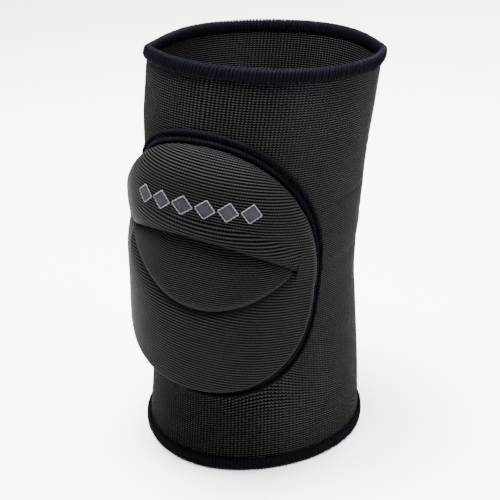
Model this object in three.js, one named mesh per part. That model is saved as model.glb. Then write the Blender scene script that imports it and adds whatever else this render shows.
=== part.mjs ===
import * as THREE from 'three';

// Knee pad: a knitted sleeve with a folded foam pad on its front, standing empty on its lower hem.
// Millimetres, +Z up, the pad faces -Y, and the origin is on the floor under the middle.

// Sleeve: an open tube, a rounded oval at every height
const sleeveHeight = 220;
const sleeveWall = 1.8;
const sleeveHalfWidth = 61.4;
const lowerFrontDepth = 68.6;
const lowerBackDepth = 65.5;
const upperFrontDepth = 62.8;
const upperBackDepth = 62.7;
const thighSetback = 15;
const rimTiltDeg = 1.9;

// Exponents of the oval: 2 is an ellipse, more is squarer
const lowerFrontExponent = 1.9;
const upperFrontExponent = 2.2;
const backExponent = 1.9;

// Shares of the height, of the half width at the calf and of the thigh's setback
const sleeveSections = [
  { height: 0.0, width: 1.0, setback: 0.0 },
  { height: 0.15, width: 0.96, setback: 0.16 },
  { height: 0.3, width: 0.92, setback: 0.16 },
  { height: 0.45, width: 0.89, setback: 0.13 },
  { height: 0.6, width: 0.93, setback: 0.16 },
  { height: 0.75, width: 0.97, setback: 0.22 },
  { height: 0.88, width: 1.007, setback: 0.54 },
  { height: 1.0, width: 1.014, setback: 1.0 },
];

// Hems: thread edgings that wrap the sleeve's two rims
const hemHeight = 6.7;
const hemProud = 2.2;
const hemInside = 1.1;
const hemRim = 1.5;

// Pad: lies on the sleeve's front, turned a little on it
const padHalfWidth = 78.5;
const padAbove = 77.4;
const padBelow = 66.9;
const padTurnDeg = 7.8;
const padOverMiddle = 0.2;
const padTopExponent = 2;
const padBottomExponent = 2.3;
const padSideThickness = 11;
const padCrown = 2.8;
const padRimThickness = 1.6;
const topShoulder = 17;
const sideShoulder = 5.8;
const bottomShoulder = 5.6;

// Folds: two sewn curves that meet in a point at each side of the leaf-shaped panel
const foldHalfWidth = 52;
const foldOffCentre = 4.5;
const foldCornerHeight = 15;
const foldRise = 12.6;
const panelDrop = 26.3;
const foldDepth = 4.6;
const panelStep = 3.4;
const foldRounding = 7;
const panelRounding = 13;
const foldWidth = 1.2;
const cornerFade = 9;

// Share of the fold's depth that is left at its corners
const cornerDepthShare = 0.6;

// Thinnest the panel gets past its corners, as a share of its drop and rise
const leastPanelShare = 0.06;

// Overlock ridges round the pad, from the outside in
const seamBand = 6.6;
const outerRidgeWidth = 2;
const outerRidgeHeight = 1.9;
const innerRidgeWidth = 2.8;
const innerRidgeHeight = 2.4;

// Space between neighbouring pieces
const clearance = 0.3;

// Facets
const sleeveSteps = 60;
const sleeveRows = 14;
const ridgeSteps = 66;
const padColumns = 32;
const lowerLobeRows = 9;
const panelRows = 5;
const upperLobeRows = 9;

// How much the lobes' rows crowd towards the shoulders
const rowEase = 1.6;

// Colours of the near-black knit and its dark navy thread
const knitColour = 0x1b1a1b;
const coverColour = 0x252426;
const threadColour = 0x15141a;

const wrapRadius = (sleeveHalfWidth + lowerFrontDepth) / 2;
const padCentreHeight = sleeveHeight / 2 + padOverMiddle;
const padTurn = THREE.MathUtils.degToRad(padTurnDeg);

const sleeveCurve = new THREE.CubicInterpolant(
  sleeveSections.map((row) => row.height),
  sleeveSections.flatMap((row) => [row.width, row.setback]),
  2,
);

function signedPower(value, power) {
  return Math.sign(value) * Math.abs(value) ** power;
}

// Rises from 0 to 1 as a quarter round, then stays there
function rounded(share) {
  const left = 1 - Math.min(Math.max(share, 0), 1);
  return Math.sqrt(1 - left * left);
}

// A point of the sleeve's outer face: angle from the front towards +X, moved outwards by offset
function sleevePoint(angle, height, offset) {
  const share = height / sleeveHeight;
  const [width, setback] = sleeveCurve.evaluate(share);
  const facesFront = Math.cos(angle) > 0;
  const frontDepth = THREE.MathUtils.lerp(lowerFrontDepth, upperFrontDepth, share);
  const backDepth = THREE.MathUtils.lerp(lowerBackDepth, upperBackDepth, share);
  const frontExponent = THREE.MathUtils.lerp(lowerFrontExponent, upperFrontExponent, share);
  const depth = (facesFront ? frontDepth : backDepth) + offset;
  const power = 2 / (facesFront ? frontExponent : backExponent);
  const x = (width * sleeveHalfWidth + offset) * signedPower(Math.sin(angle), power);
  const y = -depth * signedPower(Math.cos(angle), power);
  const tilt = THREE.MathUtils.degToRad(rimTiltDeg) * share;
  return new THREE.Vector3(x, setback * thighSetback + y * Math.cos(tilt), height - y * Math.sin(tilt));
}

// A point over the pad's own plane, across and up from its middle, wrapped round the sleeve
function padPoint(across, up, offset) {
  const sideways = across * Math.cos(padTurn) + up * Math.sin(padTurn);
  const height = padCentreHeight - across * Math.sin(padTurn) + up * Math.cos(padTurn);
  return sleevePoint(sideways / wrapRadius, height, offset);
}

function solidGeometry(points, faces) {
  const geometry = new THREE.BufferGeometry();
  const positions = points.flatMap((point) => point.toArray());
  geometry.setAttribute('position', new THREE.Float32BufferAttribute(positions, 3));
  geometry.setIndex(faces.flat());
  geometry.computeVertexNormals();
  return geometry;
}

// A closed band: the section, listed anticlockwise, is carried once round a loop
function bandGeometry(steps, section, place) {
  const points = [];
  const faces = [];
  const count = section.length;
  for (let step = 0; step < steps; step++) {
    const next = (step + 1) % steps;
    section.forEach((spot, index) => {
      const after = (index + 1) % count;
      points.push(place((step / steps) * 2 * Math.PI, spot));
      faces.push([step * count + index, next * count + index, next * count + after]);
      faces.push([step * count + index, next * count + after, step * count + after]);
    });
  }
  return solidGeometry(points, faces);
}

function placeOnSleeve(angle, spot) {
  return sleevePoint(angle, spot.height, spot.offset);
}

// The knit runs from inside one hem to inside the other
function sleeveGeometry() {
  const rimInset = hemRim + clearance;
  const section = [];
  for (let row = 0; row <= sleeveRows; row++) {
    const height = THREE.MathUtils.lerp(rimInset, sleeveHeight - rimInset, row / sleeveRows);
    section.push({ offset: 0, height });
  }
  const inside = section.map((spot) => ({ offset: -sleeveWall, height: spot.height })).reverse();
  return bandGeometry(sleeveSteps, [...section, ...inside], placeOnSleeve);
}

// A channel round the rim, with a flat edge where it stands or ends. along turns a height above
// that edge into a height of the sleeve, and the upper hem's section is the lower one's mirror.
function hemGeometry(along, mirrored) {
  const outside = hemProud;
  const bevel = hemProud / 3;
  const inside = -sleeveWall - hemInside;
  const spots = [
    { offset: outside - bevel, height: 0 },
    { offset: outside, height: bevel },
    { offset: outside, height: hemHeight - bevel },
    { offset: outside - bevel, height: hemHeight },
    { offset: clearance, height: hemHeight },
    { offset: clearance, height: hemRim },
    { offset: -sleeveWall - clearance, height: hemRim },
    { offset: -sleeveWall - clearance, height: hemHeight },
    { offset: inside, height: hemHeight },
    { offset: inside, height: 0 },
  ];
  const section = spots.map((spot) => ({ offset: spot.offset, height: along(spot.height) }));
  return bandGeometry(sleeveSteps, mirrored ? section.reverse() : section, placeOnSleeve);
}

// The pad's outline, drawn inset from the outer edge of its seam
function outlinePoint(turn, inset, offset) {
  const isTop = Math.sin(turn) > 0;
  const power = 2 / (isTop ? padTopExponent : padBottomExponent);
  const reach = (isTop ? padAbove : padBelow) - inset;
  const across = (padHalfWidth - inset) * signedPower(Math.cos(turn), power);
  return padPoint(across, reach * signedPower(Math.sin(turn), power), offset);
}

// An overlock ridge: a half round of thread laid on the sleeve along the outline
function ridgeGeometry(inset, width, height) {
  const section = [
    { inset, offset: clearance },
    { inset: inset + width * 0.05, offset: clearance + height * 0.6 },
    { inset: inset + width * 0.3, offset: clearance + height },
    { inset: inset + width * 0.7, offset: clearance + height },
    { inset: inset + width * 0.95, offset: clearance + height * 0.6 },
    { inset: inset + width, offset: clearance },
  ];
  return bandGeometry(ridgeSteps, section, (turn, spot) => outlinePoint(turn, spot.inset, spot.offset));
}

// How far the foam reaches up and down from the pad's middle at a share of its half width
function padReach(share) {
  const lift = (exponent) => Math.max(0, 1 - Math.abs(share) ** exponent) ** (1 / exponent);
  return {
    above: (padAbove - seamBand) * lift(padTopExponent),
    below: (padBelow - seamBand) * lift(padBottomExponent),
  };
}

// Heights of the upper fold and of the panel's lower edge, and how deep the folds are there
function foldsAt(across) {
  const foamHalfWidth = padHalfWidth - seamBand;
  const share = (across - foldOffCentre) / foldHalfWidth;
  const bow = Math.max(0, 1 - share * share);
  const corner = foldOffCentre + Math.sign(share) * foldHalfWidth;
  const room = padReach(across / foamHalfWidth).above / padReach(corner / foamHalfWidth).above;
  const closing = Math.min(1, room);
  const panelBow = Math.max(bow, leastPanelShare);
  const past = Math.max(0, Math.abs(share) - 1) * foldHalfWidth;
  const fade = Math.max(0, 1 - past / cornerFade);
  return {
    fold: (foldCornerHeight + foldRise * bow) * closing,
    panelEdge: (foldCornerHeight + foldRise * bow - (foldRise + panelDrop) * panelBow) * closing,
    depthShare: fade * THREE.MathUtils.lerp(cornerDepthShare, 1, bow),
  };
}

// Thickness of the uncreased foam: a rounded shoulder all round and a low crown
function foamThickness(across, up) {
  const exponent = up > 0 ? padTopExponent : padBottomExponent;
  const acrossShare = Math.abs(across) / (padHalfWidth - seamBand);
  const upShare = Math.abs(up) / ((up > 0 ? padAbove : padBelow) - seamBand);
  const radius = (acrossShare ** exponent + upShare ** exponent) ** (1 / exponent);
  const endwise = upShare ** 2 / (upShare ** 2 + acrossShare ** 2 + Number.EPSILON);
  const endShoulder = up > 0 ? topShoulder / padAbove : bottomShoulder / padBelow;
  const shoulder = THREE.MathUtils.lerp(sideShoulder / padHalfWidth, endShoulder, endwise);
  const full = padSideThickness + padCrown * (1 - acrossShare ** 2);
  return padRimThickness + (full - padRimThickness) * rounded((1 - radius) / shoulder);
}

// The rows of one column of the pad, from its lower end to its upper end
function padColumn(across, reach) {
  const { fold, panelEdge, depthShare } = foldsAt(across);
  const gap = foldWidth * Math.min(1, reach.above / padAbove + reach.below / padBelow);
  const rows = [];
  const addBand = (from, to, count, sinkAt, ease = (share) => share) => {
    for (let row = 0; row <= count; row++) {
      const up = THREE.MathUtils.lerp(from, to, ease(row / count));
      rows.push({ across, up, sink: depthShare * sinkAt(up) });
    }
  };
  const lowerTop = panelEdge - gap;
  const panelTop = fold - gap;
  addBand(-reach.below, lowerTop, lowerLobeRows, (up) => (
    panelStep * (1 - rounded((lowerTop - up) / panelRounding))
  ), (share) => share ** rowEase);
  addBand(panelEdge, panelTop, panelRows, (up) => (
    foldDepth * Math.min(1, (up - panelEdge) / (panelTop - panelEdge + Number.EPSILON))
  ));
  addBand(fold, reach.above, upperLobeRows, (up) => (
    foldDepth * (1 - rounded((up - fold) / foldRounding))
  ), (share) => 1 - (1 - share) ** rowEase);
  return rows;
}

// The pad: a face over the folds, a back on the sleeve and a thin rim between them
function padGeometry() {
  const points = [];
  const faces = [];
  const columns = [];
  for (let column = 0; column <= padColumns; column++) {
    const share = Math.sin(((column / padColumns) - 0.5) * Math.PI);
    const isEnd = column === 0 || column === padColumns;
    const across = share * (padHalfWidth - seamBand);
    const rows = isEnd ? [{ across, up: 0, sink: 0 }] : padColumn(across, padReach(share));
    columns.push(rows.map((row) => {
      const thickness = Math.max(foamThickness(row.across, row.up) - row.sink, padRimThickness);
      points.push(padPoint(row.across, row.up, clearance));
      points.push(padPoint(row.across, row.up, clearance + thickness));
      return points.length - 2;
    }));
  }
  const rowCount = columns[1].length;
  const back = (column, row) => columns[column][Math.min(row, columns[column].length - 1)];
  const face = (column, row) => back(column, row) + 1;
  const addQuad = (a, b, c, d) => {
    if (a !== b && b !== c) faces.push([a, b, c]);
    if (a !== d && d !== c) faces.push([a, c, d]);
  };
  for (let column = 0; column < padColumns; column++) {
    const next = column + 1;
    const last = rowCount - 1;
    for (let row = 0; row < last; row++) {
      addQuad(face(column, row), face(next, row), face(next, row + 1), face(column, row + 1));
      addQuad(back(column, row), back(column, row + 1), back(next, row + 1), back(next, row));
    }
    addQuad(back(column, 0), back(next, 0), face(next, 0), face(column, 0));
    addQuad(face(column, last), face(next, last), back(next, last), back(column, last));
  }
  return solidGeometry(points, faces);
}

function addPiece(name, geometry, color, roughness) {
  const material = new THREE.MeshStandardMaterial({ color, roughness, metalness: 0 });
  const piece = new THREE.Mesh(geometry, material);
  piece.name = name;
  kneePad.add(piece);
}

const kneePad = new THREE.Group();
const innerRidgeInset = seamBand - clearance - innerRidgeWidth;
addPiece('sleeve', sleeveGeometry(), knitColour, 0.9);
addPiece('lower_hem', hemGeometry((height) => height, false), threadColour, 0.8);
addPiece('upper_hem', hemGeometry((height) => sleeveHeight - height, true), threadColour, 0.8);
addPiece('pad', padGeometry(), coverColour, 0.85);
addPiece('pad_edge', ridgeGeometry(innerRidgeInset, innerRidgeWidth, innerRidgeHeight), threadColour, 0.8);
addPiece('sleeve_edge', ridgeGeometry(0, outerRidgeWidth, outerRidgeHeight), threadColour, 0.8);

// Stand the whole thing over the origin
const middle = new THREE.Box3().setFromObject(kneePad).getCenter(new THREE.Vector3());
kneePad.position.set(-middle.x, -middle.y, 0);

export default kneePad;
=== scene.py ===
import math
import random

import bmesh
import bpy
import numpy as np
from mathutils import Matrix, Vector
from mathutils.bvhtree import BVHTree


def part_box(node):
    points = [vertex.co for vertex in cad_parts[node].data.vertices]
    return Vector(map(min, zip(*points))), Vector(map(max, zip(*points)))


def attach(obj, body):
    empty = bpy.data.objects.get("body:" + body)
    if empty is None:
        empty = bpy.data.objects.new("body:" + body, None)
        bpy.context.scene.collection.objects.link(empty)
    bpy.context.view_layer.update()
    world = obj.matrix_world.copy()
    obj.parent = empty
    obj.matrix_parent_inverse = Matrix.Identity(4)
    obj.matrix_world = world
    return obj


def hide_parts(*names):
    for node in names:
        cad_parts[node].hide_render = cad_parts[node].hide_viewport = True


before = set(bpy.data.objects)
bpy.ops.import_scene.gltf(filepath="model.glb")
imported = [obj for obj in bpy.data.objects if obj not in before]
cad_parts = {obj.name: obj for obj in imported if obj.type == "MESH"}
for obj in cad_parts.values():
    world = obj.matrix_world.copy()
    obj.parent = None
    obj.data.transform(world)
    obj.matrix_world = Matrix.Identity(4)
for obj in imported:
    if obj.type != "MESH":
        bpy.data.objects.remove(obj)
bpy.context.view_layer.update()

bpy.ops.object.select_all(action="DESELECT")
mm = 0.001


# Knee pad: a knitted sleeve with a folded foam pad sewn on its front, dressed over the CAD solids.
# The shared forms come first, all in millimetres until a mesh is made

sleeve = {
    "height": 220,
    "wall": 1.2,
    "halfWidth": 61.4,
    "frontDepth": (68.6, 62.8),      # at the calf, at the thigh
    "backDepth": (65.5, 62.7),
    "frontExponent": (1.9, 2.2),     # 2 is an ellipse, more is squarer
    "backExponent": 1.9,
    "thighSetback": 15,
    "rimTilt": math.radians(1.9),
    "backRise": 1.4,                 # the back rim of the thigh opening stands a little higher
    "columns": 320,
    "rows": 150,
    "walePitch": 2.1,                # the columns of loops, of which a whole number goes round
    "coursePitch": 1.22,             # the rows of loops
}
# The empty tube lies flatter at two places of the thigh opening, so its rim comes to a corner there
pinches = [
    # angle in degrees from the front, how far it reaches either way, how deep towards the front and the back
    {"angle": -61, "reach": 62, "front": 1.6, "back": 2.9, "tip": 1.6, "from": 120},
    {"angle": 119, "reach": 55, "front": 1.0, "back": 2.0, "tip": 1.0, "from": 150},
]
sectionHeights = (0.0, 0.15, 0.3, 0.45, 0.6, 0.75, 0.88, 1.0)
sectionWidths = (1.0, 0.96, 0.92, 0.89, 0.93, 0.97, 1.007, 1.014)
sectionSetbacks = (0.0, 0.16, 0.16, 0.13, 0.16, 0.22, 0.54, 1.0)

hem = {
    "proud": 2.2,                    # how far the solid's hem stands out from the sleeve
    "rim": 1.5,                      # how far it reaches past the sleeve's edge
}

pad = {
    "halfWidth": 78.5,
    "above": 77.4,
    "below": 66.9,
    "turn": math.radians(7.8),
    "centreHeight": 110.2,
    "topExponent": 2.0,
    "bottomExponent": 2.3,
    "seamBand": 6.6,
    "sideThickness": 11.0,
    "crown": 2.8,
    "rimThickness": 1.6,
    "topShoulder": 17.0,
    "sideShoulder": 5.8,
    "bottomShoulder": 5.6,
    "lobeSwell": 0.7,                # how much each lobe puffs up in its middle
    "rightSlim": 4.6,                # the right side is squeezed flatter than the left
    "upperLeftSlim": 1.7,
    "lowerLeftSwell": 0.6,
    "foldHalfWidth": 50.3,
    "foldOffCentre": 4.8,
    "cornerHeight": 15.0,
    "foldRise": 12.6,
    "panelDrop": 25.2,
    "foldDepth": 7.4,
    "foldLip": 3.4,                  # how far the upper lobe hangs over the fold
    "foldRounding": 11.0,
    "panelStep": 3.4,
    "panelLip": 1.6,                 # how far the panel hangs over the lower lobe
    "panelRounding": 2.2,
    "crevice": 4.0,                  # how deep the cover tucks in under the panel
    "creviceWidth": 1.9,
    "lobeRounding": 15.0,
    "cornerDepthShare": 0.6,
    "leftDepthShare": 1.0,           # the left corner is the deeper one
    "leftFade": 24.0,
    "rightFade": 0.9,
    "panelRibs": 1.3,                # the panel's ribs are this many times finer
    "foldShadeLobe": 3.0,                 # how far painted shade darkens the cloth beside a fold: below the panel, on the panel's lower edge, on the panel's upper edge and on the upper lobe
    "foldShadePanel": 2.5,                # on the panel's lower edge,
    "foldShadePanelTop": 1.6,             # on the panel's upper edge
    "foldShadeUpperLobe": 1.3,            # and on the upper lobe
    "foldShadeDepth": 0.9,                # 1 would paint the fold's bottom wholly dark with shade
    "columns": 270,
    "rows": (105, 80, 100),          # lower lobe, panel, upper lobe
}
clearance = 0.3                      # between pieces that are sewn to each other

# The solids stand over the origin, which moves them back a little from the sleeve's own axis
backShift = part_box("lower_hem")[0][1] / mm + sleeve["frontDepth"][0] + hem["proud"]
wrapRadius = (sleeve["halfWidth"] + sleeve["frontDepth"][0]) / 2


def mix(a, b, share):
    return a + (b - a) * share


def rounded(share):
    left = 1 - np.clip(share, 0, 1)
    return np.sqrt(1 - left * left)


def smooth(share):
    t = np.clip(share, 0, 1)
    return t * t * (3 - 2 * t)


def signedPower(value, power):
    return np.sign(value) * np.abs(value) ** power


def hermite(knots, values, at):
    knots, values = np.array(knots), np.array(values)
    slopes = np.empty(len(knots))
    slopes[1:-1] = (values[2:] - values[:-2]) / (knots[2:] - knots[:-2])
    firstSlope = (values[1] - values[0]) / (knots[1] - knots[0])
    lastSlope = (values[-1] - values[-2]) / (knots[-1] - knots[-2])
    slopes[0] = (3 * firstSlope - slopes[1]) / 2
    slopes[-1] = (3 * lastSlope - slopes[-2]) / 2
    index = np.clip(np.searchsorted(knots, at, side="right") - 1, 0, len(knots) - 2)
    span = knots[index + 1] - knots[index]
    t = (at - knots[index]) / span
    start = (2 * t**3 - 3 * t**2 + 1) * values[index] + (t**3 - 2 * t**2 + t) * span * slopes[index]
    end = (3 * t**2 - 2 * t**3) * values[index + 1] + (t**3 - t**2) * span * slopes[index + 1]
    return start + end


# How far the sleeve is pressed in beside each corner of its rim, and pulled out at the corner itself
def pinchDepth(angle, height):
    depth = 0.0
    for pinch in pinches:
        turn = (np.degrees(angle) - pinch["angle"] + 180) % 360 - 180
        toFront = turn > 0 if pinch["angle"] < 0 else turn < 0
        share = np.clip(np.sqrt(turn * turn + 4) / pinch["reach"], 0, 1)
        most = np.where(toFront, pinch["front"], pinch["back"])
        fade = np.clip((height - pinch["from"]) / (sleeve["height"] - pinch["from"]), 0, 1) ** 1.6
        depth = depth + most * fade * 6.75 * share * (1 - share) ** 2    # the curve's top is 1
        depth = depth - pinch["tip"] * fade * np.exp(-((turn / 13) ** 2))
    return depth


# The rim hangs a little lower at its corners, fading out over the uppermost 16 mm
def pinchSag(angle, height):
    drop = 0.0
    for pinch in pinches:
        turn = (np.degrees(angle) - pinch["angle"] + 180) % 360 - 180
        drop = drop + pinch["tip"] * np.exp(-((turn / 17) ** 2))
    return drop * np.clip((height - sleeve["height"] + 16) / 16, 0, 1)


# A point on the sleeve's outer face: angle from the front towards +X, moved outwards by offset
def sleevePoint(angle, height, offset):
    angle, height, offset = np.broadcast_arrays(angle, height, offset)
    offset = offset - pinchDepth(angle, height)
    share = height / sleeve["height"]
    width = hermite(sectionHeights, sectionWidths, share) * sleeve["halfWidth"]
    setback = hermite(sectionHeights, sectionSetbacks, share) * sleeve["thighSetback"]
    front = np.cos(angle) > 0
    depth = np.where(front, mix(*sleeve["frontDepth"], share), mix(*sleeve["backDepth"], share))
    power = 2 / np.where(front, mix(*sleeve["frontExponent"], share), sleeve["backExponent"])
    x = (width + offset) * signedPower(np.sin(angle), power)
    y = -(depth + offset) * signedPower(np.cos(angle), power)
    tilt = sleeve["rimTilt"] * share
    rise = sleeve["backRise"] * np.clip(share, 0, 1) ** 6 * np.clip(-np.cos(angle), 0, 1)
    level = height + rise - pinchSag(angle, height)
    return np.stack([x, setback + y * np.cos(tilt) + backShift, level - y * np.sin(tilt)], -1)


# The pad's own plane, across and up from its middle, laid on the sleeve
def onSleeve(across, up):
    sideways = across * math.cos(pad["turn"]) + up * math.sin(pad["turn"])
    height = pad["centreHeight"] - across * math.sin(pad["turn"]) + up * math.cos(pad["turn"])
    return sideways / wrapRadius, height


def padPoint(across, up, offset):
    angle, height = onSleeve(across, up)
    return sleevePoint(angle, height, offset)


def fromSleeve(angle, height):
    sideways, rise = angle * wrapRadius, height - pad["centreHeight"]
    across = sideways * math.cos(pad["turn"]) - rise * math.sin(pad["turn"])
    return across, sideways * math.sin(pad["turn"]) + rise * math.cos(pad["turn"])


# 1 on the outer edge of the pad's seam, less inside it
def outlineRadius(across, up, inset=0.0):
    exponent = np.where(up > 0, pad["topExponent"], pad["bottomExponent"])
    reach = np.where(up > 0, pad["above"], pad["below"]) - inset
    acrossShare = np.abs(across) / (pad["halfWidth"] - inset)
    return (acrossShare**exponent + (np.abs(up) / reach) ** exponent) ** (1 / exponent)


def outlinePoint(turn, inset, offset):
    power = 2 / np.where(np.sin(turn) > 0, pad["topExponent"], pad["bottomExponent"])
    reach = np.where(np.sin(turn) > 0, pad["above"], pad["below"]) - inset
    across = (pad["halfWidth"] - inset) * signedPower(np.cos(turn), power)
    return padPoint(across, reach * signedPower(np.sin(turn), power), offset)


# Mesh helpers

def newPiece(name, points, faces, uvs=None, opennessAndFoldShade=None):
    mesh = bpy.data.meshes.new(name)
    mesh.from_pydata((np.asarray(points) * mm).tolist(), [], [list(face) for face in faces])
    if uvs is not None:
        layer = mesh.uv_layers.new(name="cloth")
        layer.data.foreach_set("uv", np.asarray(uvs, dtype=np.float32).ravel())
    if opennessAndFoldShade is not None:
        attribute = mesh.attributes.new("opennessAndFoldShade", "FLOAT", "POINT")
        attribute.data.foreach_set("value", np.asarray(opennessAndFoldShade, dtype=np.float32).ravel())
    mesh.update()
    piece = bpy.data.objects.new(name, mesh)
    bpy.context.scene.collection.objects.link(piece)
    mesh.polygons.foreach_set("use_smooth", [True] * len(mesh.polygons))
    return piece


def gridFaces(columns, rows, start=0, closed=False):
    last = columns if closed else columns - 1
    column, row = np.meshgrid(np.arange(last), np.arange(rows - 1), indexing="ij")
    column, row = column.ravel(), row.ravel()
    after = (column + 1) % columns
    corners = [column * rows + row, after * rows + row, after * rows + row + 1, column * rows + row + 1]
    return np.stack(corners, 1) + start


def finishPiece(piece, material, slot, *nodes):
    piece.data.materials.clear()
    piece.data.materials.append(material)
    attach(piece, "root")
    if nodes:
        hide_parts(*nodes)
    print("made", piece.name, len(piece.data.polygons), "faces")
    return piece


# Materials

def linearColour(hexText):
    parts = [int(hexText[index:index + 2], 16) / 255 for index in (1, 3, 5)]
    return tuple(p / 12.92 if p <= 0.04045 else ((p + 0.055) / 1.055) ** 2.4 for p in parts) + (1.0,)


def newMaterial(name, colour, roughness, specular=0.01):
    material = bpy.data.materials.new(name)
    material.use_nodes = True
    shader = material.node_tree.nodes["Principled BSDF"]
    shader.inputs["Base Color"].default_value = linearColour(colour)
    shader.inputs["Roughness"].default_value = roughness
    shader.inputs["Specular IOR Level"].default_value = specular
    return material, shader


# Adds one node: settings are its properties, inputs are values or the outputs that feed it
def addNode(material, kind, settings=None, inputs=None):
    node = material.node_tree.nodes.new(kind)
    for key, value in (settings or {}).items():
        setattr(node, key, value)
    for key, value in (inputs or {}).items():
        if isinstance(value, bpy.types.NodeSocket):
            material.node_tree.links.new(value, node.inputs[key])
        else:
            node.inputs[key].default_value = value
    return node


def mathNode(material, operation, first, second=0.0, third=0.0):
    settings = {"operation": operation}
    return addNode(material, "ShaderNodeMath", settings, {0: first, 1: second, 2: third}).outputs[0]


# A row of soft ridges, 0 in the grooves and 1 on the crests, once every pitch
def ridges(material, length, pitch):
    phase = mathNode(material, "MULTIPLY", length, 2 * math.pi / pitch)
    return mathNode(material, "MULTIPLY_ADD", mathNode(material, "COSINE", phase), 0.5, 0.5)


# Knit: rows of loops with a small dark hole between them, as on a stretch support. A point attribute
# closes the holes where the knit isn't stretched, and paints shade on cloth tucked into a fold
def knitMaterial(name, look):
    material, shader = newMaterial(name, look["yarn"], look["roughness"], look["specular"])
    uv = addNode(material, "ShaderNodeUVMap", {"uv_map": "cloth"})
    split = addNode(material, "ShaderNodeSeparateXYZ", None, {0: uv.outputs[0]})
    wobble = addNode(material, "ShaderNodeTexNoise", None, {"Scale": 0.1, "Detail": 3.0, "Vector": uv.outputs[0]})
    shift = mathNode(material, "MULTIPLY_ADD", wobble.outputs["Fac"], look["wobble"], -look["wobble"] / 2)
    wale = ridges(material, mathNode(material, "ADD", split.outputs[0], shift), look["walePitch"])
    bowed = mathNode(material, "MULTIPLY_ADD", wale, look["loopBow"], mathNode(
        material, "ADD", split.outputs[1], shift))
    course = ridges(material, bowed, look["coursePitch"])
    opennessAndFoldShade = addNode(material, "ShaderNodeAttribute", {"attribute_name": "opennessAndFoldShade"}).outputs["Fac"]
    # Painted shade: where cloth is tucked into a fold its ribs fade and its colour goes towards the dark gap
    # colour, standing in for the fold's shadow
    foldShade = mathNode(material, "MULTIPLY", mathNode(material, "SUBTRACT", 1.0, opennessAndFoldShade), look["foldShadeStrength"])
    ribbed = mathNode(material, "MAXIMUM", mathNode(material, "MULTIPLY_ADD", foldShade, -2.0, 1.0), 0.0)
    groove = mathNode(material, "MULTIPLY", ribbed, mathNode(
        material, "POWER", mathNode(material, "SUBTRACT", 1.0, course), look["grooveSharpness"]))
    gap = mathNode(material, "MULTIPLY", opennessAndFoldShade, mathNode(
        material, "POWER", mathNode(material, "SUBTRACT", 1.0, wale), look["gapSharpness"]))
    hole = mathNode(material, "MULTIPLY", gap, mathNode(
        material, "POWER", mathNode(material, "SUBTRACT", 1.0, course), look["holeSharpness"]))
    pits = mathNode(material, "MULTIPLY_ADD", groove, look["grooveShade"], mathNode(
        material, "MULTIPLY_ADD", gap, look["gapShade"], mathNode(
            material, "MULTIPLY_ADD", hole, look["holeShade"], mathNode(material, "POWER", foldShade, 1.3))))
    fuzz = addNode(material, "ShaderNodeTexNoise", None, {"Scale": 1.6, "Detail": 3.0, "Vector": uv.outputs[0]})
    cloudy = addNode(material, "ShaderNodeTexNoise", None, {"Scale": 0.035, "Detail": 3.0, "Vector": uv.outputs[0]})
    uneven = mathNode(material, "MULTIPLY_ADD", fuzz.outputs["Fac"], look["fuzz"], mathNode(
        material, "MULTIPLY_ADD", cloudy.outputs["Fac"], look["cloud"], -(look["fuzz"] + look["cloud"]) / 2))
    dark = addNode(material, "ShaderNodeClamp", None, {0: mathNode(material, "ADD", pits, uneven)}).outputs[0]
    colour = addNode(material, "ShaderNodeMix", {"data_type": "RGBA"}, {
        "Factor": dark, 6: linearColour(look["yarn"]), 7: linearColour(look["gap"])})
    relief = mathNode(material, "MULTIPLY_ADD", fuzz.outputs["Fac"], 0.15, mathNode(
        material, "MULTIPLY", pits, -1.0))
    rough = mathNode(material, "MULTIPLY_ADD", fuzz.outputs["Fac"], 0.2, look["roughness"] - 0.1)
    bump = addNode(material, "ShaderNodeBump", None, {
        "Strength": 1.0, "Distance": look["relief"] * mm, "Height": relief})
    links = material.node_tree.links
    links.new(colour.outputs[2], shader.inputs["Base Color"])
    links.new(rough, shader.inputs["Roughness"])
    links.new(bump.outputs[0], shader.inputs["Normal"])
    return material


# Overlock polyester thread: near-black navy, with random lighter patches of painted highlight for the soft shine of
# twisted filament
def threadMaterial(name, look):
    material, shader = newMaterial(name, look["thread"], look["roughness"])
    coords = addNode(material, "ShaderNodeTexCoord").outputs["Object"]
    glintPatches = addNode(material, "ShaderNodeTexNoise", None, {"Scale": 420.0, "Detail": 3.0, "Vector": coords})
    twist = addNode(material, "ShaderNodeTexNoise", None, {"Scale": 2600.0, "Detail": 1.0, "Vector": coords})
    colour = addNode(material, "ShaderNodeMix", {"data_type": "RGBA"}, {
        "Factor": glintPatches.outputs["Fac"], 6: linearColour(look["thread"]), 7: linearColour(look["paintedGlint"])})
    bump = addNode(material, "ShaderNodeBump", None, {
        "Strength": 0.6, "Distance": 0.12 * mm, "Height": twist.outputs["Fac"]})
    rough = mathNode(material, "MULTIPLY_ADD", glintPatches.outputs["Fac"], 0.2, look["roughness"] - 0.1)
    links = material.node_tree.links
    links.new(colour.outputs[2], shader.inputs["Base Color"])
    links.new(rough, shader.inputs["Roughness"])
    links.new(bump.outputs[0], shader.inputs["Normal"])
    return material


# Matt elastane and nylon for the sleeve: an open grid of holes that reads as stretch knit
sleeveKnit = knitMaterial("sleeveElastaneNylonKnit", {
    "yarn": "#272526", "gap": "#000000", "roughness": 0.7, "specular": 0.006,
    "walePitch": sleeve["walePitch"], "coursePitch": sleeve["coursePitch"], "wobble": 0.5, "loopBow": 0.3,
    "grooveSharpness": 1.2, "gapSharpness": 1.2, "holeSharpness": 0.7,
    "grooveShade": 1.0, "gapShade": 0.4, "holeShade": 1.7, "fuzz": 0.35, "cloud": 0.3, "relief": 0.5,
    "foldShadeStrength": 0.0})
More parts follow.
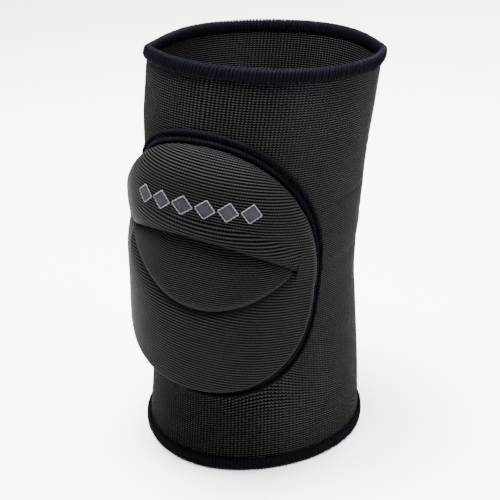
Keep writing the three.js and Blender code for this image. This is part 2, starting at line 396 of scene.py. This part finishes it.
# Ribbed polyester for the pad: level ribs that show how the foam swells and folds, with painted shade where the
# cloth is tucked into the folds
coverKnit = knitMaterial("padCoverRibbedPolyesterKnit", {
    "yarn": "#242323", "gap": "#000000", "roughness": 0.5, "specular": 0.006,
    "walePitch": 1.25, "coursePitch": 1.5, "wobble": 0.15, "loopBow": 0.1,
    "grooveSharpness": 1.1, "gapSharpness": 1.6, "holeSharpness": 1.0,
    "grooveShade": 1.35, "gapShade": 0.3, "holeShade": 0.4, "fuzz": 0.25, "cloud": 0.15, "relief": 0.25,
    "foldShadeStrength": 1.0})
overlockThread = threadMaterial("navyOverlockPolyesterThread", {
    "thread": "#040407", "paintedGlint": "#0b0a11", "roughness": 0.45})
# Rayon embroidery thread: a darker fill within a paler outline
motifFill = threadMaterial("greyRayonSatinStitch", {
    "thread": "#28282d", "paintedGlint": "#323238", "roughness": 0.4})
motifOutline = threadMaterial("paleGreyRayonOutlineStitch", {
    "thread": "#505057", "paintedGlint": "#616168", "roughness": 0.4})


# Sleeve: a wall of knit with the creases behind the knee

creases = [
    # angle in degrees from the front, height, how far each runs, its width, its depth, its slope
    {"angle": 104, "height": 168, "run": 17, "width": 1.3, "depth": 0.55, "slope": 0.02},
    {"angle": 92, "height": 149, "run": 20, "width": 1.5, "depth": 0.6, "slope": 0.06},
    {"angle": 128, "height": 131, "run": 24, "width": 3.0, "depth": 0.5, "slope": 0.05},
    {"angle": 98, "height": 112, "run": 20, "width": 3.0, "depth": 0.35, "slope": 0.10},
    {"angle": -48, "height": 199, "run": 13, "width": 9.0, "depth": 1.3, "slope": -0.25},
    {"angle": -30, "height": 178, "run": 12, "width": 7.0, "depth": 0.7, "slope": 0.5},
    {"angle": 175, "height": 140, "run": 48, "width": 4.5, "depth": 1.2, "slope": 0.03},
    {"angle": 190, "height": 112, "run": 52, "width": 5.5, "depth": 1.0, "slope": -0.04},
    {"angle": 165, "height": 92, "run": 38, "width": 5.0, "depth": 0.7, "slope": 0.05},
    {"angle": 238, "height": 150, "run": 30, "width": 3.4, "depth": 0.9, "slope": -0.12},
    {"angle": 246, "height": 124, "run": 26, "width": 4.2, "depth": 0.6, "slope": -0.08},
]


def creaseDepth(angle, height):
    depth = np.zeros(np.broadcast(angle, height).shape)
    for crease in creases:
        turn = (np.degrees(angle) - crease["angle"] + 180) % 360 - 180
        along = np.radians(turn) * wrapRadius
        line = height - crease["height"] - crease["slope"] * along
        across = line / crease["width"]
        # the cloth swells a little above and below each groove
        groove = np.exp(-across**2) - 0.45 * np.exp(-((across - 2.1) ** 2))
        groove = groove - 0.35 * np.exp(-((across + 2.1) ** 2))
        depth += crease["depth"] * groove * np.exp(-((along / crease["run"]) ** 2))
    ends = np.clip(np.minimum(height - 12, sleeve["height"] - 12 - height) / 15, 0, 1)
    return depth * ends


# Rows of loops sag round the pad's lower edge, because the pad pulls the knit
courseSag = {
    "most": 0.275,                   # in shares of the pad's reach below its middle
    "fade": 0.22,                    # away from the pad's outline, in shares of its size
    "past": 0.3,                     # past the pad's sides, in shares of its half width
}
# The knit is stretched open at the front and the back and lies close at the sides
stretch = {
    "middle": -8,                    # degrees from the front
    "open": 28,                      # degrees to either side
    "fade": 34,
    "closed": 0.75,                  # how far the holes close at the sides
}


def courseHeight(angle, height):
    turn = (angle + np.pi) % (2 * np.pi) - np.pi
    across, up = fromSleeve(turn, height)
    near = np.exp(-(np.clip(outlineRadius(across, up), 1, None) - 1) / courseSag["fade"])
    side = np.abs(across) / pad["halfWidth"]
    beyond = np.clip(side - 1, 0, None)
    lift = pad["below"] * smooth(side) * np.exp(-((beyond / courseSag["past"]) ** 2))
    return height - courseSag["most"] * lift * near * smooth(-up / pad["below"])


def makeSleeve():
    columns, rows = sleeve["columns"], sleeve["rows"]
    rimInset = hem["rim"] + clearance
    angle = np.linspace(0, 2 * np.pi, columns, endpoint=False)[:, None]
    height = np.linspace(rimInset, sleeve["height"] - rimInset, rows)[None, :]
    sink = creaseDepth(angle, height)
    outer = sleevePoint(angle, height, -sink)
    inner = sleevePoint(angle, height, -sink - sleeve["wall"])
    points = np.concatenate([outer.reshape(-1, 3), inner.reshape(-1, 3)])
    half = columns * rows
    outerFaces = gridFaces(columns, rows, 0, True)
    innerFaces = gridFaces(columns, rows, half, True)[:, ::-1]
    ring = np.arange(columns)
    after = (ring + 1) % columns
    low = np.stack([ring * rows, half + ring * rows, half + after * rows, after * rows], 1)
    top = rows - 1
    high = np.stack([ring * rows + top, after * rows + top, half + after * rows + top,
                     half + ring * rows + top], 1)
    faces = np.concatenate([outerFaces, innerFaces, low, high])
    girth = round(2 * np.pi * wrapRadius / sleeve["walePitch"]) * sleeve["walePitch"]
    around = np.linspace(0, girth, columns + 1)
    course = courseHeight(angle, height)
    column = (faces % half) // rows
    row = (faces % half) % rows
    wraps = (column.max(1) - column.min(1)) > columns / 2
    unrolled = np.where(wraps[:, None] & (column == 0), columns, column)
    uvs = np.stack([around[unrolled], course[column, row]], -1)

    fromFront = np.abs((np.degrees(angle) - stretch["middle"] + 180) % 360 - 180)
    nearest = np.minimum(fromFront, 180 - fromFront)
    closing = stretch["closed"] * smooth((nearest - stretch["open"]) / stretch["fade"])
    opennessAndFoldShade = np.broadcast_to(1 - closing, course.shape).ravel()
    piece = newPiece("sleeveKnitTube", points, faces, uvs, np.concatenate([opennessAndFoldShade, opennessAndFoldShade]))
    finishPiece(piece, sleeveKnit, "sleeve_knit", "sleeve")


# Pad cover: one skin over the foam, folded twice

# The upper fold's line and the panel's lower edge, the share of the folds' depth, and the bow of both
# lines, 1 in the middle and 0 at the corners
def foldsAt(across):
    share = (across - pad["foldOffCentre"]) / pad["foldHalfWidth"]
    bow = np.clip(1 - share * share, 0, None)
    corner = pad["foldOffCentre"] + np.sign(share) * pad["foldHalfWidth"]
    closing = np.minimum(1, foamReach(across)[0] / foamReach(corner)[0])
    past = np.clip(np.abs(share) - 1, 0, None) * pad["foldHalfWidth"]
    fade = 1 - smooth(past / np.where(share < 0, pad["leftFade"], pad["rightFade"]))
    fold = (pad["cornerHeight"] + pad["foldRise"] * bow) * closing
    panelBow = np.maximum(bow, 0.03)
    edge = fold - (pad["foldRise"] + pad["panelDrop"]) * panelBow * closing
    cornerShare = np.where(share < 0, pad["leftDepthShare"], pad["cornerDepthShare"])
    return fold, edge, fade * mix(cornerShare, 1, bow), bow


# How far the foam goes up and down from the pad's middle line
def foamReach(across):
    share = np.clip(np.abs(across) / (pad["halfWidth"] - pad["seamBand"]), 0, 1)
    above = (pad["above"] - pad["seamBand"]) * (1 - share ** pad["topExponent"]) ** (1 / pad["topExponent"])
    below = (pad["below"] - pad["seamBand"]) * (1 - share ** pad["bottomExponent"]) ** (1 / pad["bottomExponent"])
    return above, below


# The foam without its folds: rounded shoulders, a low crown, the right side slimmed from 30 mm on and
# the left side from 28 mm on
def foamThickness(across, up):
    acrossShare = np.abs(across) / (pad["halfWidth"] - pad["seamBand"])
    upShare = np.abs(up) / (np.where(up > 0, pad["above"], pad["below"]) - pad["seamBand"])
    radius = outlineRadius(across, up, pad["seamBand"])
    endwise = upShare**2 / (upShare**2 + acrossShare**2 + 1e-9)
    endShoulder = np.where(up > 0, pad["topShoulder"] / pad["above"], pad["bottomShoulder"] / pad["below"])
    shoulder = mix(pad["sideShoulder"] / pad["halfWidth"], endShoulder, smooth(endwise))
    full = pad["sideThickness"] + pad["crown"] * (1 - acrossShare**2)
    full = full - pad["rightSlim"] * smooth((across - 30) / 36)
    nearLeft = smooth((-across - 28) / 30)
    full = full + nearLeft * mix(pad["lowerLeftSwell"], -pad["upperLeftSlim"], smooth((up + 5) / 25))
    return pad["rimThickness"] + (full - pad["rimThickness"]) * rounded((1 - radius) / shoulder)


# Places each point of a column: where it lies up the pad, its height over the sleeve, its length
# along the ribs' pattern and its openness, which is low where painted shade darkens cloth tucked into a fold
def padSurface(across):
    def near(gap, width):
        return np.exp(-((gap / pad[width]) ** 2))

    fold, edge, depthShare, bow = foldsAt(across)
    above, below = foamReach(across)
    lowRows, panelRows, topRows = pad["rows"]
    opened = smooth(bow * 8)         # 0 at the corners, where the panel closes

    share = np.sin(np.linspace(0, 1, lowRows) * np.pi / 2)[None, :] ** 0.9
    lowUp = mix(-below, edge, share)
    gap = edge - lowUp
    shadow = np.exp(-gap / pad["creviceWidth"])
    sink = pad["panelStep"] * (1 - rounded(gap / pad["lobeRounding"])) + pad["crevice"] * shadow * opened
    swell = pad["lobeSwell"] * np.sin(np.pi * np.clip((lowUp + below) / (edge + below + 1e-9), 0, 1))
    lowHeight = foamThickness(across, lowUp) + swell - depthShare * sink

    share = np.linspace(0, 1, panelRows)[None, :] ** 1.5
    panelUp = mix(edge, fold, share)
    gap = lowerGap = panelUp - edge
    lift = rounded(gap / pad["panelRounding"])
    lip = pad["panelLip"] * np.sin(np.pi * np.clip(gap / pad["panelRounding"], 0, 1) ** 0.8) * opened
    slope = mix(0.3, pad["foldDepth"], 0.35 * share**1.6 + 0.65 * share**7)
    sink = mix(pad["panelStep"] + pad["crevice"] * opened, slope, lift)
    sink = mix(mix(pad["panelStep"], pad["foldDepth"], share), sink, opened)
    panelHeight = foamThickness(across, panelUp) - depthShare * sink
    curved = 1 - smooth((across + 30) / 34)
    panelRib = gap * mix(1, pad["panelRibs"], opened)

    share = 1 - np.cos(np.linspace(0, 1, topRows) * np.pi / 2)[None, :] ** 0.9
    share = mix(share, np.linspace(0, 1, topRows)[None, :], 0.3)
    topUp = mix(fold, above, share)
    gap = topUp - fold
    topLip = pad["foldLip"] * np.sin(np.pi * np.clip(gap / pad["foldRounding"], 0, 1) ** 0.6)
    sink = pad["foldDepth"] * (1 - rounded(gap / pad["foldRounding"]))
    swell = pad["lobeSwell"] * np.sin(np.pi * np.clip(gap / (above - fold + 1e-9), 0, 1))
    topHeight = foamThickness(across, topUp) + swell - depthShare * sink
    panelUp = panelUp - lip * depthShare
    ups = np.concatenate([lowUp, panelUp, topUp - topLip * depthShare], 1)

    # Ribs lie level on the lobes; on the panel they follow its lower edge at the left
    panelRib = edge * (1 - curved * opened) + mix(panelUp - edge, panelRib, opened)
    ribs = np.concatenate([lowUp, panelRib, topUp], 1)
    # Painted shade: the cloth beside each fold is painted darker, standing in for the shadow in the fold
    foldShades = np.concatenate([
        opened * near(edge - lowUp, "foldShadeLobe"),
        opened * np.maximum(near(lowerGap, "foldShadePanel"), near(fold - edge - lowerGap, "foldShadePanelTop")),
        near(gap, "foldShadeUpperLobe")], 1)
    heights = np.concatenate([lowHeight, panelHeight, topHeight], 1)
    return ups, heights, ribs, 1 - pad["foldShadeDepth"] * foldShades * np.clip(depthShare, 0, 1)


# How much longer the cloth is than its place tells where it climbs, counted from each lobe's middle row
def steepLength(points, up):
    run = np.linalg.norm(np.diff(points, axis=1), axis=2)
    excess = np.clip(run - 1.12 * np.abs(np.diff(up, axis=1)), 0, None)
    total = np.concatenate([np.zeros((len(up), 1)), np.cumsum(excess, 1)], 1)
    low, panel, top = pad["rows"]
    for start, end in ((0, low), (low, low + panel), (low + panel, low + panel + top)):
        middle = (start + end) // 2
        total[:, start:end] -= total[:, [middle]].copy()
    total[:, low:low + panel] = 0    # the panel is nearly flat
    return total


def makePadCover():
    halfWidth = pad["halfWidth"] - pad["seamBand"]
    even = np.linspace(-1, 1, pad["columns"] + 1)[1:-1]
    share = mix(np.sin(even * np.pi / 2), even, 0.35)[:, None]
    across = share * halfWidth
    up, height, rib, opennessAndFoldShade = padSurface(across)
    columns, rows = up.shape
    height = np.maximum(height, pad["rimThickness"])
    ribLength = rib + steepLength(padPoint(across, up, height), up)
    front = padPoint(across, up, clearance + height)
    back = padPoint(across[:, [0] * 2], up[:, [0, -1]], clearance)
    ends = padPoint(np.array([-halfWidth, halfWidth]), np.zeros(2), clearance + pad["rimThickness"])
    points = np.concatenate([front.reshape(-1, 3), ends, back.reshape(-1, 3)])
    faces = [list(face) for face in gridFaces(columns, rows)]
    left, right = columns * rows, columns * rows + 1
    lastColumn = (columns - 1) * rows
    for row in range(rows - 1):
        faces.append([left, row, row + 1])
        faces.append([lastColumn + row, right, lastColumn + row + 1])
    uvFor = np.concatenate([
        np.stack([np.broadcast_to(across, up.shape), ribLength], -1).reshape(-1, 2),
        np.array([[-halfWidth, 0], [halfWidth, 0]]),
        np.zeros((2 * columns, 2))])
    backStart = left + 2
    for column in range(columns - 1):
        here, after = backStart + column * 2, backStart + column * 2 + 2
        faces.append([here, here + 1, after + 1, after])
        faces.append([column * rows, here, after, (column + 1) * rows])
        faces.append([column * rows + rows - 1, (column + 1) * rows + rows - 1, after + 1, here + 1])
    faces.append([left, backStart + 1, backStart])
    faces.append([left, backStart, 0])
    faces.append([left, rows - 1, backStart + 1])
    lastBack = backStart + 2 * (columns - 1)
    faces.append([right, lastBack, lastBack + 1])
    faces.append([right, lastColumn, lastBack])
    faces.append([right, lastBack + 1, lastColumn + rows - 1])
    uvs = np.concatenate([uvFor[face] for face in faces])
    opennessAndFoldShade = np.concatenate([opennessAndFoldShade.ravel(), np.ones(len(points) - opennessAndFoldShade.size)])
    piece = newPiece("padCoverOverFoam", points, faces, uvs, opennessAndFoldShade)
    finishPiece(piece, coverKnit, "pad_cover_knit", "pad")
    return piece


# Thread work: one strand is modelled, then laid side by side along an edge

def strandShape(sides, steps):
    bpy.ops.mesh.primitive_cylinder_add(vertices=sides, radius=1, depth=1, end_fill_type="TRIFAN")
    strand = bpy.context.object
    bpy.ops.object.mode_set(mode="EDIT")
    bpy.ops.mesh.select_all(action="DESELECT")
    mesh = bmesh.from_edit_mesh(strand.data)
    for edge in mesh.edges:
        edge.select = abs(edge.verts[0].co.z - edge.verts[1].co.z) > 0.5
    bmesh.update_edit_mesh(strand.data)
    bpy.ops.mesh.subdivide(number_cuts=steps - 1, quadcorner="INNERVERT")
    bpy.ops.object.mode_set(mode="OBJECT")
    points = np.array([vertex.co[:] for vertex in strand.data.vertices]) + (0, 0, 0.5)
    faces = [tuple(face.vertices) for face in strand.data.polygons]
    bpy.data.objects.remove(strand)
    return points, faces


# Lays strands side by side: place gives a strand's line, and the line lifted off the surface
def strandMesh(shape, count, place, radius, flatness, seed):
    points, faces = shape
    rng = random.Random(seed)
    along = points[:, 2]
    allPoints, allFaces = [], []
    for index in range(count):
        jitter = rng.uniform(-0.04, 0.04)
        thick = radius * rng.uniform(0.85, 1.2)
        puff = rng.uniform(-0.1, 0.1)
        lean = rng.uniform(-0.06, 0.06) + rng.uniform(-0.2, 0.2) * (along - 0.5)
        taper = 0.45 + 0.55 * np.sqrt(np.clip(np.sin(np.pi * along) * 1.6, 0, 1))
        centre = place(index, along + jitter, puff, lean)
        lifted = place(index, along + jitter, puff + 1, lean)
        beside = place(index, along + jitter, puff, lean + 0.5)
        outward = lifted - centre
        outward /= np.linalg.norm(outward, axis=1)[:, None] + 1e-9
        sideways = beside - centre
        sideways -= outward * (sideways * outward).sum(1)[:, None]
        sideways /= np.linalg.norm(sideways, axis=1)[:, None] + 1e-9
        spots = centre + sideways * (points[:, :1] * thick * taper[:, None])
        spots = spots + outward * (points[:, 1:2] * thick * flatness * taper[:, None])
        allPoints.append(spots)
        allFaces.extend(tuple(corner + index * len(points) for corner in face) for face in faces)
    return np.concatenate(allPoints), allFaces


# A closed band all round: spots are the corners of its section
def bandMesh(steps, spots, place):
    turn = np.linspace(0, 2 * np.pi, steps, endpoint=False)[:, None]
    spots = np.array(spots)
    points = place(turn, spots[None, :, 0], spots[None, :, 1]).reshape(-1, 3)
    count = len(spots)
    step, index = np.meshgrid(np.arange(steps), np.arange(count), indexing="ij")
    after, following = (step + 1) % steps, (index + 1) % count
    faces = np.stack([step * count + index, after * count + index, after * count + following,
                      step * count + following], -1).reshape(-1, 4)
    return points, [tuple(face) for face in faces]


def joinMeshes(parts):
    points, faces, start = [], [], 0
    for partPoints, partFaces in parts:
        points.append(partPoints)
        faces.extend(tuple(corner + start for corner in face) for face in partFaces)
        start += len(partPoints)
    return np.concatenate(points), faces


# Each stitch that wraps an edge is a bundle of filaments, proud in its middle
def bundle(index, wraps, filaments, spread):
    wrap, filament = divmod(index, filaments)
    aside = (filament - (filaments - 1) / 2) * spread
    return (wrap + aside) / wraps, 1 - abs(aside) * 2


hemThread = {
    "wraps": 206,                    # one for each 2 mm of edge
    "filaments": 3,
    "spread": 0.2,
    "radius": 0.34,
    "flatness": 0.85,
    "slant": 1.4,                    # how far a wrap leans along the edge, in wraps
    "proud": 0.32,
    "sides": 6,
    "steps": 11,
}
# Offset from the sleeve's face and height above the edge, from the outer foot to the inner one
hemPath = [(0.35, 7.2), (1.3, 6.3), (1.6, 4.4), (1.5, 2.3), (1.0, 0.9), (0.1, 0.45), (-0.9, 0.75), (-1.5, 1.9),
           (-1.55, 4.2), (-1.35, 6.6)]


def followPath(path, share):
    path = np.array(path)
    lengths = np.concatenate([[0], np.cumsum(np.linalg.norm(np.diff(path, axis=0), axis=1))])
    knots = lengths / lengths[-1]
    return hermite(knots, path[:, 0], share), hermite(knots, path[:, 1], share)


def makeHem(name, node, isUpper, seed):
    total = sleeve["height"]

    def hemPoint(angle, offset, height):
        return sleevePoint(angle, total - height if isUpper else height, offset)

    # corners of the plain core under the threads
    core = [(0.9, 0.9), (1.35, 1.8), (1.35, 5.6), (0.9, 6.4), (0.3, 6.5), (0.3, 1.6), (-1.3, 1.6), (-1.3, 6.4),
            (-1.4, 6.2), (-1.4, 1.4), (-0.8, 0.9)]
    if isUpper:
        core = core[::-1]
    parts = [bandMesh(bandSteps, core, hemPoint)]

    def place(index, share, lift, aside=0.0):
        share = np.clip(share, 0, 1)
        offset, height = followPath(hemPath, share)
        ahead = followPath(hemPath, np.clip(share + 0.02, 0, 1))
        behind = followPath(hemPath, np.clip(share - 0.02, 0, 1))
        run = np.stack([ahead[0] - behind[0], ahead[1] - behind[1]], -1)
        run /= np.linalg.norm(run, axis=1)[:, None]
        around, proud = bundle(index, hemThread["wraps"], hemThread["filaments"], hemThread["spread"])
        angle = 2 * np.pi * (around + (hemThread["slant"] * (share - 0.3) + aside) / hemThread["wraps"])
        raised = lift + proud * hemThread["proud"]
        return hemPoint(angle, offset - raised * run[:, 1], height + raised * run[:, 0])

    shape = strandShape(hemThread["sides"], hemThread["steps"])
    count = hemThread["wraps"] * hemThread["filaments"]
    parts.append(strandMesh(shape, count, place, hemThread["radius"], hemThread["flatness"], seed))
    points, faces = joinMeshes(parts)
    piece = newPiece(name, points, faces)
    return finishPiece(piece, overlockThread, "overlock_thread", node)


ridgeThread = {
    "wraps": 236,                    # one for each 2 mm of seam
    "filaments": 3,
    "spread": 0.2,
    "radius": 0.3,
    "flatness": 0.85,
    "slant": 1.3,
    "proud": 0.3,
    "sides": 5,
    "steps": 7,
}
bandSteps = 240                      # of the plain core under the threads


# A ridge of wraps along the pad's seam. A knot is where its ends overlap, and a bridge is the row of
# single threads between the two ridges
def makeRidge(name, node, inset, width, height, seed, knot=None, bridge=None):
    core = [(inset + 0.2, clearance), (inset + width * 0.15, height * 0.5 + clearance),
            (inset + width / 2, height * 0.75), (inset + width * 0.85, height * 0.5 + clearance),
            (inset + width - 0.2, clearance)]
    parts = [bandMesh(bandSteps, core, outlinePoint)]
    shape = strandShape(ridgeThread["sides"], ridgeThread["steps"])
    count = ridgeThread["wraps"] * ridgeThread["filaments"]

    def place(index, share, lift, aside=0.0):
        around, proud = bundle(index, ridgeThread["wraps"], ridgeThread["filaments"], ridgeThread["spread"])
        turn = 2 * np.pi * (around + (ridgeThread["slant"] * (share - 0.5) + aside) / ridgeThread["wraps"])
        bulge = 0.0
        if knot:
            degrees = np.degrees(turn) % 360
            bulge = knot["bulge"] * smooth((degrees - knot["from"]) / 3) * smooth((knot["to"] - degrees) / 5)
        arc = np.pi * (1 - share)
        raised = lift + proud * ridgeThread["proud"]
        reach = width / 2 - 0.15 + bulge + raised
        across = inset + width / 2 - bulge * 0.6 - reach * np.cos(arc)
        rise = clearance + 0.2 + (height - 0.65 + bulge * 0.5 + raised) * np.sin(arc)
        return outlinePoint(turn, across, rise)

    parts.append(strandMesh(shape, count, place, ridgeThread["radius"], ridgeThread["flatness"], seed))

    def placeBridge(index, share, lift, aside=0.0):
        turn = 2 * np.pi * (index + 0.6 * share + aside) / ridgeThread["wraps"]
        across = mix(bridge[0], bridge[1], share)
        return outlinePoint(turn, across, clearance + 0.35 + lift + 0.2 * np.sin(np.pi * share))

    if bridge:
        parts.append(strandMesh(strandShape(4, 3), ridgeThread["wraps"], placeBridge, 0.3, 0.8, seed + 1))
    points, faces = joinMeshes(parts)
    piece = newPiece(name, points, faces)
    return finishPiece(piece, overlockThread, "overlock_thread", node)


# Motif: a row of plain diamonds in satin stitch, each with a running outline

motif = {
    "count": 6,
    "pitch": 10.3,
    "halfWidth": 4.3,
    "halfHeight": 4.6,
    "centre": (-0.5, 44.5),          # across and up on the pad
    "turn": math.radians(5.8),
    "threadPitch": 0.42,
    "radius": 0.26,
    "outlineRadius": 0.34,
    "outlinePitch": 1.5,             # length of a running stitch
    "outlineGap": (0.35, 0.4),       # between the fill and the outline, sideways and upwards
    "sides": 5,
    "steps": 7,
    "flatness": 0.7,
}


# Points of the cover's outer face, found by rays from outside
def onCover(tree, across, up):
    above = padPoint(across, up, 40.0) * mm
    below = padPoint(across, up, 0.0) * mm
    spots = []
    for start, end in zip(above, below):
        hit = tree.ray_cast(Vector(start), Vector(end - start))
        spots.append(np.array(hit[0]) / mm if hit[0] else end / mm)
    return np.array(spots)


def makeMotif(cover):
    tree = BVHTree.FromObject(cover, bpy.context.evaluated_depsgraph_get())
    shape = strandShape(motif["sides"], motif["steps"])
    gapAside, gapUp = motif["outlineGap"]
    fills, outlines = [], []

    def layThread(start, end, radius, lift, rise):
        points, faces = shape
        along = points[:, 2]
        across = mix(start[0], end[0], along)
        up = mix(start[1], end[1], along)
        centre = onCover(tree, across, up)
        outward = padPoint(across, up, 10.0) - padPoint(across, up, 0.0)
        outward /= np.linalg.norm(outward, axis=1)[:, None]
        run = padPoint(np.array([end[0]]), np.array([end[1]]), 0.0) - padPoint(
            np.array([start[0]]), np.array([start[1]]), 0.0)
        sideways = np.cross(run, outward)
        sideways /= np.linalg.norm(sideways, axis=1)[:, None]
        arch = lift + rise * np.sin(np.pi * along)
        taper = 0.5 + 0.5 * np.sqrt(np.clip(np.sin(np.pi * along), 0, 1))
        spots = centre + outward * arch[:, None]
        spots = spots + sideways * (points[:, :1] * radius * taper[:, None])
        return spots + outward * (points[:, 1:2] * radius * motif["flatness"] * taper[:, None]), faces

    first = -(motif["count"] - 1) / 2
    for index in range(motif["count"]):
        middle = motif["centre"][0] + (first + index) * motif["pitch"]
        level = motif["centre"][1] + (first + index) * motif["pitch"] * math.tan(motif["turn"])
        lines = int(2 * motif["halfWidth"] / motif["threadPitch"])
        for line in range(1, lines):
            offset = -motif["halfWidth"] + line * 2 * motif["halfWidth"] / lines
            reach = motif["halfHeight"] * (1 - abs(offset) / motif["halfWidth"]) + 0.2
            fills.append(layThread((middle + offset, level - reach), (middle + offset + 0.1, level + reach),
                                   motif["radius"], 0.1, 0.5 * reach / motif["halfHeight"]))
        corners = [(-1, 0), (0, 1), (1, 0), (0, -1)]
        for side in range(4):
            start, end = corners[side], corners[(side + 1) % 4]
            count = round(math.hypot(motif["halfWidth"], motif["halfHeight"]) / motif["outlinePitch"])
            for stitch in range(count):
                spots = []
                for share in (stitch / count, (stitch + 0.95) / count):
                    across = middle + mix(start[0], end[0], share) * (motif["halfWidth"] + gapAside)
                    spots.append((across, level + mix(start[1], end[1], share) * (motif["halfHeight"] + gapUp)))
                outlines.append(layThread(spots[0], spots[1], motif["outlineRadius"], 0.35, 0.25))
    points, faces = joinMeshes(fills)
    finishPiece(newPiece("motifSatinStitch", points, faces), motifFill, "overlock_thread")
    points, faces = joinMeshes(outlines)
    finishPiece(newPiece("motifOutlineStitch", points, faces), motifOutline, "overlock_thread")


makeSleeve()
cover = makePadCover()
makeHem("upperHemOverlock", "upper_hem", True, 11)
makeHem("lowerHemOverlock", "lower_hem", False, 12)
innerWidth, outerWidth = 2.8, 2.0
innerInset = pad["seamBand"] - clearance - innerWidth
makeRidge("padEdgeOverlock", "pad_edge", innerInset, innerWidth, 2.4, 21, bridge=(1.7, innerInset + 0.4))
makeRidge("sleeveEdgeOverlock", "sleeve_edge", 0.0, outerWidth, 1.9, 22,
          knot={"from": 66, "to": 122, "bulge": 0.2})
makeMotif(cover)


# Camera at the photograph's angle, in a 500 by 500 frame

camera = {
    "azimuth": math.radians(29.13),
    "elevation": math.radians(23.02),
    "distance": 700,
    "focalPixels": 1199.4,
    "frame": 500,
    "aside": -12.25,
    "targetHeight": 96.3,
    "axisBack": 18.64,               # the sleeve axis of the camera's own frame, behind the origin
}


def makeCamera():
    azimuth, elevation = camera["azimuth"], camera["elevation"]
    right = Vector((math.cos(azimuth), math.sin(azimuth), 0))
    back = Vector((math.sin(azimuth) * math.cos(elevation), -math.cos(azimuth) * math.cos(elevation),
                   math.sin(elevation)))
    target = right * camera["aside"] + Vector((0, camera["axisBack"], camera["targetHeight"]))
    bpy.ops.object.camera_add(location=(target + back * camera["distance"]) * mm,
                              rotation=(math.pi / 2 - elevation, 0, azimuth))
    view = bpy.context.object
    view.name = "photoCamera"
    view.data.sensor_width = 36
    view.data.lens = camera["focalPixels"] * view.data.sensor_width / camera["frame"]
    bpy.context.scene.camera = view


def makeFloor():
    bpy.ops.mesh.primitive_plane_add(size=8)
    floor = bpy.context.object
    floor.name = "paleFloor"
    material, shader = newMaterial("paleMattPaper", "#f9f9f9", 0.9)
    floor.data.materials.append(material)


studio = [
    # name, place in metres, size, power in watts, what it is aimed at
    {"name": "topSoftbox", "at": (-0.15, -0.02, 1.25), "size": 0.7, "power": 152, "aim": (0, 0, 0.1)},
    {"name": "rightSoftbox", "at": (0.9, 0.15, 1.05), "size": 0.5, "power": 22, "aim": (0, -0.02, 0.13)},
    {"name": "frontFill", "at": (0.5, -1.4, 0.7), "size": 1.1, "power": 2, "aim": (0, 0, 0.1)},
    {"name": "floorWash", "at": (-0.1, 1.7, 1.3), "size": 1.0, "power": 80, "aim": (-0.5, 1.1, 0)},
]
worldStrength = 0.25


def makeLights():
    for lamp in studio:
        direction = Vector(lamp["aim"]) - Vector(lamp["at"])
        turn = direction.to_track_quat("-Z", "Y").to_euler()
        bpy.ops.object.light_add(type="AREA", location=lamp["at"], rotation=turn)
        light = bpy.context.object
        light.name = lamp["name"]
        light.data.size = lamp["size"]
        light.data.energy = lamp["power"]
    world = bpy.data.worlds.new("paleStudio")
    world.use_nodes = True
    world.node_tree.nodes["Background"].inputs["Color"].default_value = (1, 1, 1, 1)
    world.node_tree.nodes["Background"].inputs["Strength"].default_value = worldStrength
    bpy.context.scene.world = world


makeCamera()
makeFloor()
makeLights()
print("camera, floor and lights are up")
